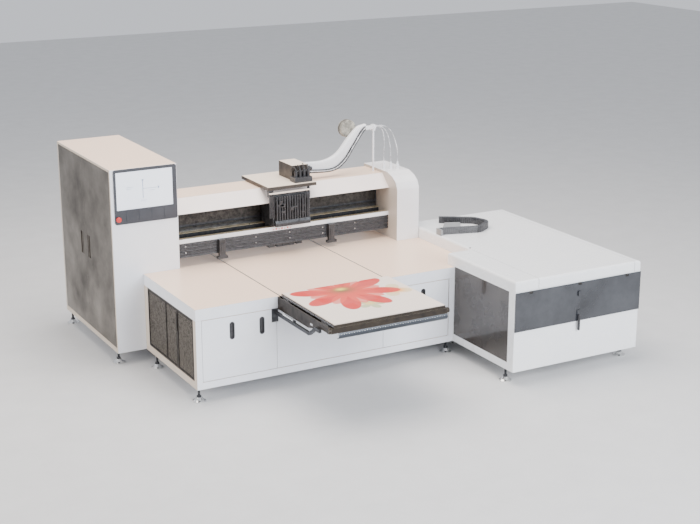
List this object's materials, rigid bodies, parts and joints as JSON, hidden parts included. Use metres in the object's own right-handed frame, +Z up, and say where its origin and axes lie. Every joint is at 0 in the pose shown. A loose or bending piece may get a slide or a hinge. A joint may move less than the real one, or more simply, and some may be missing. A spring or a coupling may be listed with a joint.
{
  "type": "flatbed uv printer",
  "caption": "Free-standing flatbed UV printer: control tower, base cabinet with a sliding print bed, gantry with a moving head, and a curing cabinet with a flap.",
  "frame": {"origin": "middle of the whole machine's footprint, on the floor", "axes": "+X to the right seen from the front, along the longest side; +Y to the back; +Z up"},
  "size_m": [3.733, 3.19, 1.748],
  "materials": {
    "white_paint": "satin powder coat",
    "tower_steel": "dark streaked steel",
    "dark_mesh": "black perforated sheet",
    "black_metal": "black satin",
    "bright_metal": "polished",
    "steel_rail": "ground",
    "ledge_metal": "warm brushed",
    "frame_steel": "grey primer",
    "dark_anodised": "dark anodised",
    "grey_bar": "grey anodised",
    "cream_board": "matt",
    "smoked_panel": "smoked",
    "slate_gloss": "gloss",
    "screen_glass": "lit display",
    "red_button": "gloss",
    "black_plastic": "matt",
    "white_plastic": "satin",
    "beige_plastic": "satin",
    "hose_clear": "clear tube",
    "ink_bottle": "translucent"
  },
  "bodies": {
    "root": {"base_casing": "white_paint", "table_top": "white_paint", "base_frame": "frame_steel", "front_panel": "white_paint", "vent_panel": "dark_mesh", "hinge_pins": "steel_rail", "ink_tanks": "ink_bottle", "vacuum_pump": "frame_steel", "linear_rails": "steel_rail", "extension_frame": "dark_anodised", "grab_bar": "grey_bar", "stay_arms": "black_metal", "arm_dampers": "bright_metal", "x_beam": "black_metal", "column_posts": "frame_steel", "right_column": "white_paint", "beam_cover": "white_paint", "guard_beam": "black_metal", "guard_strip": "white_plastic", "guard_ledges": "ledge_metal", "crash_sensors": "black_plastic", "hose_post": "white_plastic", "hose_drum": "beige_plastic", "hose_fittings": "white_plastic", "hose_left": "hose_clear", "hose_middle": "hose_clear", "hose_right": "hose_clear", "tower_casing": "white_paint", "screen_bezel": "slate_gloss", "display_screen": "screen_glass", "control_gear": "frame_steel", "box_casing": "white_paint", "side_window": "smoked_panel", "box_lid": "white_paint", "cable_chain": "black_plastic", "lid_fittings": "frame_steel", "cure_rack": "frame_steel", "foot_pads": "bright_metal", "foot_studs": "black_metal"},
    "bed": {"bed_plate": "dark_anodised", "print_board": "cream_board", "bed_blocks": "steel_rail"},
    "carriage": {"carriage_plate": "black_metal", "carriage_yoke": "black_metal", "carriage_tray": "white_paint", "ink_box": "dark_anodised", "valve_bank": "black_plastic", "hose_duct": "white_plastic"},
    "screw": {"lift_screw": "steel_rail"},
    "head": {"head_body": "black_metal", "print_heads": "black_plastic", "cure_lamps": "black_plastic"},
    "door_left": {"front_door_left": "white_paint"},
    "door_right": {"front_door_right": "white_paint"},
    "vent": {"vent_door": "dark_mesh"},
    "tower_front": {"tower_door_front": "tower_steel"},
    "tower_rear": {"tower_door_rear": "tower_steel"},
    "stop": {"stop_button": "red_button"},
    "flap": {"cure_flap": "slate_gloss"},
    "latch": {"flap_latch": "black_plastic"}
  },
  "joints": [
    {"name": "bed_slide", "type": "slide", "parent": "root", "child": "bed", "axis": [0, 1, 0], "range_m": [0, 1.99]},
    {"name": "carriage_slide", "type": "slide", "parent": "root", "child": "carriage", "axis": [1, 0, 0], "range_m": [-0.6, 0.5], "deforming": ["hose_duct"]},
    {"name": "head_lift", "type": "slide", "parent": "carriage", "child": "head", "axis": [0, 0, 1], "range_m": [0, 0.04]},
    {"name": "screw_turn", "type": "hinge", "parent": "carriage", "child": "screw", "pos_m": [-0.3075, 0.47, 1.007], "axis": [0, 0, 1], "range_deg": [0, 2880]},
    {"name": "door_left_hinge", "type": "hinge", "parent": "root", "child": "door_left", "pos_m": [-1.548, -0.721, 0.165], "axis": [0, 0, -1], "range_deg": [0, 90]},
    {"name": "door_right_hinge", "type": "hinge", "parent": "root", "child": "door_right", "pos_m": [0.589, -0.721, 0.165], "axis": [0, 0, 1], "range_deg": [0, 90]},
    {"name": "vent_hinge", "type": "hinge", "parent": "root", "child": "vent", "pos_m": [-1.5955, -0.668, 0.165], "axis": [0, 0, 1], "range_deg": [0, 90]},
    {"name": "tower_front_hinge", "type": "hinge", "parent": "root", "child": "tower_front", "pos_m": [-1.8355, 0.337, 0.15], "axis": [0, 0, 1], "range_deg": [0, 90]},
    {"name": "tower_rear_hinge", "type": "hinge", "parent": "root", "child": "tower_rear", "pos_m": [-1.8355, 1.563, 0.15], "axis": [0, 0, -1], "range_deg": [0, 90]},
    {"name": "stop_press", "type": "slide", "parent": "root", "child": "stop", "axis": [0, 1, 0], "range_m": [0, 0.004], "stiffness_N_per_m": 600},
    {"name": "flap_hinge", "type": "hinge", "parent": "root", "child": "flap", "pos_m": [1.2505, -1.572, 0.743], "axis": [-1, 0, 0], "range_deg": [0, 100]},
    {"name": "latch_turn", "type": "hinge", "parent": "flap", "child": "latch", "pos_m": [1.2455, -1.589, 0.483], "axis": [0, -1, 0], "range_deg": [0, 90]}
  ],
  "couplings": [
    {"joint": "screw_turn", "follows": "head_lift", "rad_per_m": 1256.6}
  ]
}
